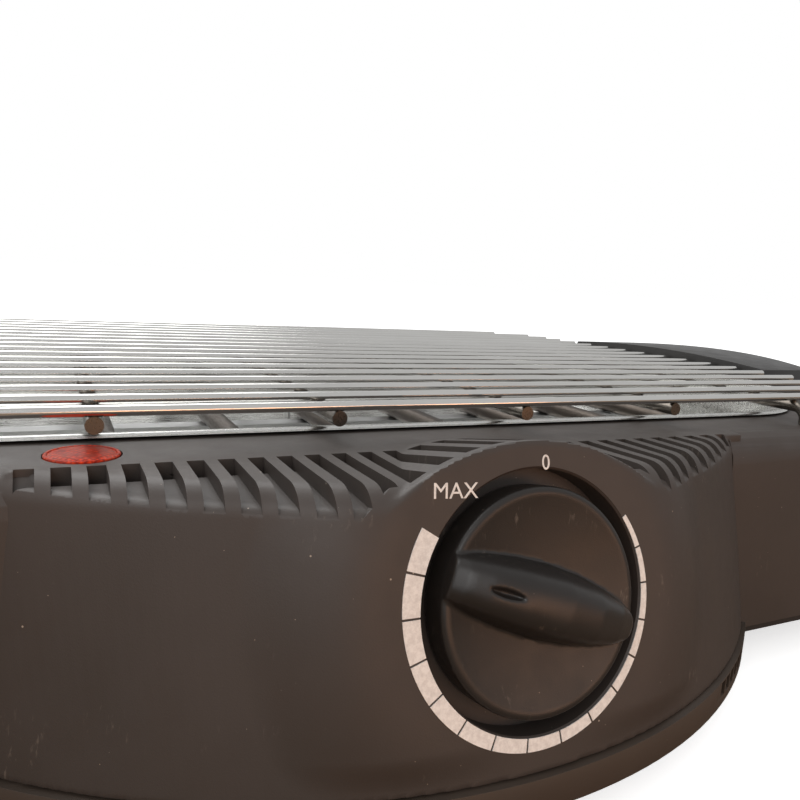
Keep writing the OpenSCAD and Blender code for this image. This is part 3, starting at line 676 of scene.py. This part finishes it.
# %% Control box: grooves
GROOVE_PITCH = 6.6 * MM
GROOVE_W = 3.75 * MM
GROOVES_LEFT, GROOVES_RIGHT = 15, 14
GROOVE_DEPTH = 2.5 * MM
GROOVE_FALL = math.tan(math.radians(3.5))
GROOVE_ROUND = 2.2 * MM
GROOVE_TALL = 9.5 * MM              # no box reaches lower than this below the deck
GROOVE_LENGTH = 80 * MM             # past the bow's front
WALL_CLEAR = 0.45 * MM              # the lower form stands this far in front of the wall
WALL_SPREAD = 1.005                 # and is this much wider
SLOT_LENGTH = 3.6 * MM
SLOT_TALL = 14 * MM                 # through the deck
FACE_RIM = 3.2 * MM                 # the hood's smooth front edge, along the dial's axis
FACE_SIDE = HOOD_R + 60 * MM
FACE_LOW, FACE_HIGH = -120 * MM, HOOD_RISE + 20 * MM


def lower_deck():
    """The form between the ribs: the bow again, with a lower top that falls forward."""
    height = DECK_Z - GROOVE_DEPTH
    piece = bow_block("lower_deck", SEAM_Z - 5 * MM, height, GROOVE_ROUND)
    places = points(piece)
    top = places[:, 2] > height - 1.2 * GROOVE_ROUND
    places[top, 2] -= np.maximum(GROOVE_REAR - places[top, 1], 0) * GROOVE_FALL
    set_points(piece, places)
    hood_floor = bow_block("hood_floor", HOOD_LOW, HOOD_HIGH, 0)
    radius = HOOD_R - GROOVE_DEPTH
    middle = HOOD_RISE - GROOVE_DEPTH - radius
    combine(hood_floor, barrel("floor_barrel", radius, middle, HOOD_REAR, HOOD_AHEAD), "INTERSECT")
    combine(piece, hood_floor, "UNION")
    shape(piece, "REMESH", mode="VOXEL", voxel_size=1.2 * VOXEL)
    draw_flat(piece)
    wider = Matrix.Diagonal((WALL_SPREAD, 1, 1, 1))
    piece.data.transform(Matrix.Translation((0, -WALL_CLEAR, 0)) @ wider)
    return piece


def comb(name, near, far, low, high):
    """One box for each groove: near and far are in Y, low and high in Z."""
    boxes = []
    for k in range(-GROOVES_LEFT, GROOVES_RIGHT + 1):
        left, right = k * GROOVE_PITCH - GROOVE_W / 2, k * GROOVE_PITCH + GROOVE_W / 2
        boxes.append(block(name, (left, near, low), (right, far, high)))
    return join(name, boxes)


def face_guard():
    """Everything in front of the hood's rear edge, which the grooves must not reach."""
    guard = place_on_dial(block("guard", (-FACE_SIDE, FACE_LOW, -FACE_RIM), (FACE_SIDE, FACE_HIGH, 60 * MM)))
    reach = barrel("reach", HOOD_R + 2 * MM, HOOD_RISE - HOOD_R, -FACE_RIM - 1 * MM, 50 * MM)
    return combine(guard, reach, "INTERSECT")


grooves = comb("grooves", GROOVE_REAR - GROOVE_LENGTH, GROOVE_REAR, DECK_Z - GROOVE_TALL, HOOD_HIGH)
combine(grooves, lower_deck(), "DIFFERENCE")
combine(grooves, face_guard(), "DIFFERENCE")
combine(housing_front, grooves, "DIFFERENCE")
slots = comb("slots", GROOVE_REAR - SLOT_LENGTH, GROOVE_REAR, DECK_Z - SLOT_TALL, DECK_Z + 5 * MM)
combine(housing_front, slots, "DIFFERENCE")
print("after the grooves:", len(housing_front.data.polygons), "faces")

# %% [markdown]
# The well that the knob turns in, the lamp's hole and the hollow inside are cut after the
# smoothing, so their edges stay crisp. The well's mouth has a small flare. Box and body
# are one moulding on the real grill, so they become one mesh last.

# %% Control box: well, lamp hole and hollow
WELL_R = 28.4 * MM
WELL_DEPTH = 7 * MM
FLARE = 0.5 * MM
BORE_R, BORE_DEPTH = 6 * MM, 40 * MM        # for the thermostat's shaft
ROOF, FRONT_WALL, HOLLOW_ROUND = 12 * MM, 17 * MM, 3 * MM
LAMP_LOW, LAMP_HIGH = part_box("indicator_lens")
LAMP = (LAMP_LOW + LAMP_HIGH) / 2
LENS_R = (LAMP_HIGH.x - LAMP_LOW.x) / 2
LENS_FIT = 0.35 * MM                # the dark line round the lens

well = turned("well", [(WELL_R, -WELL_DEPTH), (WELL_R, -FLARE), (WELL_R + FLARE, 0.05 * MM),
                       (WELL_R + FLARE, 20 * MM)], 160)
combine(housing_front, place_on_dial(well), "DIFFERENCE")
hole = primitive("cylinder", "lamp_hole", vertices=96, radius=LENS_R + LENS_FIT, depth=30 * MM,
                 location=(LAMP.x, LAMP.y, DECK_Z))
combine(housing_front, hole, "DIFFERENCE")
bore = barrel("bore", BORE_R, 0, -BORE_DEPTH, 0, 48)
combine(housing_front, bore, "DIFFERENCE")
hollow = bow_block("hollow", SEAM_Z - 1 * MM, DECK_Z - ROOF, HOLLOW_ROUND)
hollow.data.transform(Matrix.Translation((0, FRONT_WALL, 0)))
combine(housing_front, hollow, "DIFFERENCE")
combine(housing_front, housing_body, "UNION")
housing_front.name = "housing_shell"
smooth(housing_front, 32)
finish_piece(housing_front, "base", "housing_plastic", housing_plastic, "housing")

# %% [markdown]
# The lower cover closes the box from below. Its top edge is eased, which gives the thin dark
# seam under the bow.

# %% Lower cover
SEAM_GAP = 0.3 * MM
lower_cover = dissolve_flat(merged_copy("box_cover", "lower_cover"))
places = points(lower_cover)
places[places[:, 2] > SEAM_Z - 0.05 * MM, 2] -= SEAM_GAP
set_points(lower_cover, places)
shape(lower_cover, "BEVEL", width=0.35 * MM, segments=2, limit_method="ANGLE", angle_limit=math.radians(50))
smooth(lower_cover, 35)
finish_piece(lower_cover, "base", "housing_plastic", cover_plastic, "box_cover")

# %% [markdown]
# The knob is a shallow dish with a rolled rim, and a leaf-shaped grip that grows out of the
# rim at both ends. A pointer is engraved in the grip. The grip starts as a finely divided
# cube whose points are moved to the leaf's form, because its width and height both change
# along its length. Disc and grip then get one skin, and smoothing makes the fillet between
# them. The grip is made with its pointer downwards, so it's turned half round first and
# then to its place at rest.

# %% Knob
KNOB_R = 24.7 * MM
KNOB_FACE = 2.0 * MM                # its rim above the dial's face
KNOB_FOOT = -WELL_DEPTH + 1.2 * MM
KNOB_SKIN = 0.36 * MM
POINTER = math.radians(290)         # where the pointer stands at rest, clockwise from the top
RIM_ROLL = 1.1 * MM
DISH = 2.2 * MM
POINTER_AT = (0, -14.5 * MM, 8.9 * MM)
POINTER_HALF = (0.8 * MM, 3.8 * MM, 1.2 * MM, 1)
POINTER_TILT = math.radians(12)
GRIP_STATIONS = np.array([-24.6, -22, -17, -9, 0, 9, 16, 21, 24.0]) * MM
GRIP_TOPS = np.array([4.0, 6.4, 8.6, 10.4, 11.4, 11.0, 9.2, 6.6, 3.2]) * MM
GRIP_HALVES = np.array([4.9, 5.5, 6.3, 7.2, 7.6, 7.1, 5.9, 4.3, 2.0]) * MM


def knob_disc():
    """The skirt, the rolled rim and the dished face."""
    profile = [(KNOB_R, KNOB_FOOT), (KNOB_R, KNOB_FACE - RIM_ROLL)]
    profile += quarter(KNOB_R, KNOB_FACE, RIM_ROLL, 4)
    dish_r = KNOB_R - 1.5 * RIM_ROLL
    profile += [(dish_r * t, KNOB_FACE - DISH * (1 - t**2.4)) for t in np.linspace(1, 0.1, 16)]
    return turned("knob", profile, 192)


def knob_grip():
    """The leaf: along its length it follows the stations, and across it rounds over."""
    piece = primitive("cube", "grip", size=2)
    take(piece)
    bpy.ops.object.mode_set(mode="EDIT")
    bpy.ops.mesh.select_all(action="SELECT")
    bpy.ops.mesh.subdivide(number_cuts=40)
    bpy.ops.object.mode_set(mode="OBJECT")
    unit = points(piece)
    along = np.interp(unit[:, 1], [-1, 1], [GRIP_STATIONS[0], GRIP_STATIONS[-1]])
    top = np.interp(along, GRIP_STATIONS, GRIP_TOPS)
    half = np.interp(along, GRIP_STATIONS, GRIP_HALVES)
    side = np.abs(unit[:, 0])
    crown = 0.16 * side**2 + 0.55 * side**5
    height = (unit[:, 2] + 1) / 2
    low = KNOB_FACE - 3 * MM
    level = low + height * ((top - low) * (1 - crown))
    flank = 1 + 0.10 * (1 - height) ** 2
    leaf = np.stack([unit[:, 0] * half * flank, along, level], axis=1)
    set_points(piece, leaf)
    return piece


def pointer_groove():
    """A long slim cutter that follows the slope of the grip's top."""
    piece = primitive("uv_sphere", "groove", segments=24, ring_count=16, radius=1)
    piece.data.transform(Matrix.Translation(POINTER_AT) @ Matrix.Rotation(POINTER_TILT, 4, "X")
                         @ Matrix.Diagonal(POINTER_HALF))
    return piece


knob = knob_disc()
grip = knob_grip()
trim = primitive("cylinder", "trim", vertices=128, radius=KNOB_R - 0.1 * MM, depth=40 * MM,
                 location=(0, 0, 18 * MM))
combine(grip, trim, "INTERSECT")
combine(knob, grip, "UNION")
combine(knob, pointer_groove(), "DIFFERENCE")
shape(knob, "REMESH", mode="VOXEL", voxel_size=KNOB_SKIN)
shape(knob, "SMOOTH", factor=0.5, iterations=4)
knob.data.transform(Matrix.Rotation(-POINTER, 4, "Z") @ Matrix.Rotation(math.pi, 4, "Z"))
place_on_dial(knob)
smooth(knob, 60)
finish_piece(knob, "knob", "knob_plastic", knob_plastic, "control_knob")

# %% [markdown]
# The words on the dial are generic: a nought and MAX. Text is turned to a mesh and laid a
# little proud of the face, as a thick print is. Its strokes are made bold by joining the
# word with copies of itself to each side. It's drawn in the dial's own frame, so each word
# needs only its place across and up the face.

# %% Dial words
PRINT = 0.08 * MM                   # the print's thickness
WORD_HEIGHT = 3.3 * MM
WORD_BOLD = 0.19 * MM               # the strokes are this much wider to each side
CAPITAL = 0.70                      # a capital's height as a share of the font's size


def dial_word(name, text, across, up, stretch, turn):
    """One word: its middle across and up the face, and its turn in degrees."""
    bpy.ops.object.text_add()
    word = bpy.context.object
    word.name = name
    word.data.body = text
    word.data.align_x = "CENTER"
    word.data.align_y = "CENTER"
    word.data.size = WORD_HEIGHT / CAPITAL
    word.data.extrude = PRINT / 2
    word.data.resolution_u = 6
    take(word)
    bpy.ops.object.convert(target="MESH")
    word = bpy.context.object
    for k in (-1, 1):
        copy = word.copy()
        copy.data = word.data.copy()
        bpy.context.scene.collection.objects.link(copy)
        copy.data.transform(Matrix.Translation((k * WORD_BOLD, 0, 0)))
        combine(word, copy, "UNION")
    turned_word = Matrix.Rotation(math.radians(turn), 4, "Z") @ Matrix.Diagonal((stretch, 1, 1, 1))
    word.data.transform(Matrix.Translation((across, up, PRINT / 2)) @ turned_word)
    place_on_dial(word)
    return finish_piece(word, "base", "print_white", print_ink)


dial_word("mark_off", "0", 3.1 * MM, 29.4 * MM, 0.95, 0)
dial_word("mark_max", "MAX", -19.7 * MM, 24.8 * MM, 1.06, -3)

# %% [markdown]
# The lens is a low dome in a thin collar. A turned profile gives both, and the waffle
# pattern inside is left to its material.

# %% Lamp lens
COLLAR_W, COLLAR_RISE = 0.9 * MM, 0.4 * MM
COLLAR_EASE = 0.25 * MM             # its outer edge slopes by this much
DOME_FOOT = DECK_Z + 0.2 * MM
DOME_RISE = LAMP_HIGH.z - DOME_FOOT
DOME_ARC = 1.0                      # half the dome's arc, in radians

dome_r = LENS_R - COLLAR_W
profile = [(LENS_R, LAMP_LOW.z), (LENS_R, DECK_Z + 0.15 * MM), (LENS_R - COLLAR_EASE, DECK_Z + COLLAR_RISE),
           (dome_r + 0.2 * MM, DECK_Z + COLLAR_RISE), (dome_r, DOME_FOOT)]
for angle in np.linspace(0.9, 0.1, 9):
    across = math.sin(angle) / math.sin(DOME_ARC)
    up = (math.cos(angle) - math.cos(DOME_ARC)) / (1 - math.cos(DOME_ARC))
    profile.append((dome_r * across, DOME_FOOT + DOME_RISE * up))
lens = turned("lamp_lens", profile, 64)
lens.data.transform(Matrix.Translation((LAMP.x, LAMP.y, 0)))
smooth(lens, 40)
finish_piece(lens, "base", "red_lens", red_lens, "indicator_lens")

# %% [markdown]
# Wires. Bars and cross wires are drawn steel, welded where they cross. Their solids have
# the right form, so copies of them only need their flat ends joined and smooth shading.

# %% Grate
# The cross wires get the bars' chrome with painted shade, a dark brownish grey.
for node, name, material in (("grate_bars", "grate_bar_wires", bar_chrome),
                             ("grate_rails", "grate_cross_wires", rail_chrome_painted_shade)):
    wires = dissolve_flat(merged_copy(node, name), 0.05)
    smooth(wires, 40)
    finish_piece(wires, "grate", "grate_chrome", material, node)

# %% [markdown]
# The heating element is one bent tube. Its solid has the right route, and smooth shading
# makes it round.

# %% Heating element
element = smooth(merged_copy("heating_element", "element_tube"), 40)
finish_piece(element, "base", "element_sheath", sheath, "heating_element")

# %% [markdown]
# The reflector pan is pressed from thin bright sheet. Its edge is rolled to a bead, which
# catches the light as one thin line, and hides the flat flange behind it from a low eye. A
# flat outline is inset step by step, each step lower or higher than the last, as a press
# draws the sheet, and the sheet gets its thickness last. The steps are in millimetres.

# %% Reflector pan
PAN_CORNER = 50 * MM
PAN_DRAW = [(0.15, 0.45), (0.35, 0.35), (0.45, 0.12), (0.45, -0.12), (0.4, -0.35), (0.3, -0.35),
            (3.4, 0.0), (1.1, -0.25), (0.7, -0.7), (0.5, -1.3), (0.3, -9.0), (0.3, -9.0),
            (0.6, -4.0), (1.2, -2.2), (2.0, -1.4), (2.6, -0.7)]


def pressed_pan():
    """The sheet's outline on the deck, drawn inwards step by step."""
    middle = (RIM_LOW + RIM_HIGH) / 2
    bpy.ops.mesh.primitive_plane_add(size=1, location=(0, 0, 0))
    piece = bpy.context.object
    piece.name = "reflector_pan_sheet"
    size = RIM_HIGH - RIM_LOW
    grown = Matrix.Diagonal((size.x, size.y, 1, 1))
    piece.data.transform(Matrix.Translation((middle.x, middle.y, DECK_Z + PAN_SHEET)) @ grown)
    take(piece)
    bpy.ops.object.mode_set(mode="EDIT")
    bpy.ops.mesh.select_all(action="SELECT")
    bpy.ops.mesh.bevel(offset=PAN_CORNER, segments=20, affect="VERTICES")
    bpy.ops.mesh.select_mode(type="FACE")
    bpy.ops.mesh.select_all(action="SELECT")
    for inward, rise in PAN_DRAW:
        bpy.ops.mesh.inset(thickness=inward * MM, depth=rise * MM)
    bpy.ops.object.mode_set(mode="OBJECT")
    return shape(piece, "SOLIDIFY", thickness=0.75 * PAN_SHEET, offset=-1)


pan = smooth(pressed_pan(), 50)
finish_piece(pan, "base", "bright_sheet", pan_sheet, "reflector_pan")

# %% [markdown]
# The handles are hollow mouldings. Their solids have the right form, and a bevel on every
# sharp edge gives the radius that makes them look moulded.

# %% Handles
HANDLE_EDGE = 0.9 * MM
for side in ("left", "right"):
    handle = dissolve_flat(merged_copy(f"handle_{side}", f"grip_{side}"))
    shape(handle, "BEVEL", width=HANDLE_EDGE, segments=3, limit_method="ANGLE", angle_limit=math.radians(35))
    smooth(handle, 40)
    finish_piece(handle, "base", "handle_plastic", handle_plastic, f"handle_{side}")

# %% [markdown]
# The other solids keep their own meshes and get the material of what they are made of. A
# solid that a piece above replaces is hidden, and gets the plain plastic.

# %% Materials of the carried-over solids
DRESS = {
    "base_plate": base_plastic, "heat_shield": inner_sheet, "element_bushes": steatite,
    "element_terminals": terminal_brass, "element_rests": inner_sheet, "thermal_cutout": inner_dark,
    "thermostat": inner_plastic, "thermostat_bracket": inner_sheet, "thermostat_screws": screw_zinc,
    "knob_shaft": screw_zinc, "dial_scale": print_ink, "lamp_holder": inner_plastic, "neon_lamp": lamp_glass,
    "terminal_block": inner_plastic, "cord_bush": black_rubber, "handle_screws": screw_zinc,
    "base_screws": screw_zinc, "cover_screws": screw_zinc, "foot_front_left": black_rubber,
    "foot_front_right": black_rubber, "foot_rear_left": black_rubber, "foot_rear_right": black_rubber,
}
for name, node in frame["nodes"].items():
    material = DRESS.get(name, base_plastic)
    if node.data.materials:
        for i in range(len(node.data.materials)):
            node.data.materials[i] = material
    else:
        node.data.materials.append(material)
print("dressed", len(DRESS), "solids")

# %% [markdown]
# Light. A broad soft lamp above and behind gives the bright deck and bars, one in front
# keeps the bow dark but readable, and a weak warm one low in front stands for what the
# table throws up. The world and the floor are white to the camera alone. To light that
# bounces, the world is a dim room and the floor is a wooden table.

# %% Floor, world and lamps
ROOM = 0.6                          # the world's strength to all but the camera
FLOOR_GLOW = 0.62                   # lifts the lit floor to the backdrop's white, shadow aside


def area_lamp(name, place, target, size, power, tint="#ffffff"):
    """A rectangular lamp at a place, turned towards a target."""
    data = bpy.data.lights.new(name, "AREA")
    data.shape = "RECTANGLE"
    data.size, data.size_y = size
    data.energy = power
    data.color = colour(tint)[:3]
    lamp = bpy.data.objects.new(name, data)
    lamp.location = place
    lamp.rotation_euler = (Vector(target) - Vector(place)).to_track_quat("-Z", "Y").to_euler()
    bpy.context.scene.collection.objects.link(lamp)


world = bpy.data.worlds.new("studio")
bpy.context.scene.world = world
world.use_nodes = True
tree = world.node_tree
tree.nodes.clear()
strength = remap(tree, put(tree, "ShaderNodeLightPath").outputs["Is Camera Ray"], 0, 1, ROOM, 1.0)
sky = put(tree, "ShaderNodeBackground", {"Color": (1, 1, 1, 1), "Strength": strength})
put(tree, "ShaderNodeOutputWorld", {"Surface": sky.outputs["Background"]})

floor = primitive("plane", "floor", size=60)
floor_material, tree, shader, place = new_material("matt_white_floor")
shader.inputs["Base Color"].default_value = colour("#ffffff")
shader.inputs["Roughness"].default_value = 1.0
shader.inputs["Specular IOR Level"].default_value = 0.0
glow = put(tree, "ShaderNodeEmission", {"Color": (1, 1, 1, 1), "Strength": FLOOR_GLOW})
both = put(tree, "ShaderNodeAddShader", {0: shader.outputs["BSDF"], 1: glow.outputs["Emission"]})
path = put(tree, "ShaderNodeLightPath")
wood = put(tree, "ShaderNodeBsdfDiffuse", {"Color": colour("#b5804f")})
dull = put(tree, "ShaderNodeBsdfDiffuse", {"Color": colour("#857668")})
table = put(tree, "ShaderNodeMixShader", {0: path.outputs["Is Glossy Ray"], 1: wood.outputs["BSDF"],
                                          2: dull.outputs["BSDF"]})
plain = put(tree, "ShaderNodeMixShader", {0: path.outputs["Is Camera Ray"], 1: table.outputs["Shader"],
                                          2: both.outputs["Shader"]})
output = [n for n in tree.nodes if n.type == "OUTPUT_MATERIAL"][0]
tree.links.new(plain.outputs["Shader"], output.inputs["Surface"])
floor.data.materials.append(floor_material)

area_lamp("key_above", (-0.35, 0.55, 1.0), (0, 0, 0.05), (1.4, 1.0), 14)
area_lamp("fill_front", (-0.9, -1.3, 0.9), (0, 0, 0.05), (1.2, 1.0), 9)
area_lamp("warm_low", (0.2, -0.8, 0.03), (0.02, -0.15, 0.02), (0.6, 0.2), 1.5, "#ecb088")

bpy.context.scene.view_settings.view_transform = "Standard"
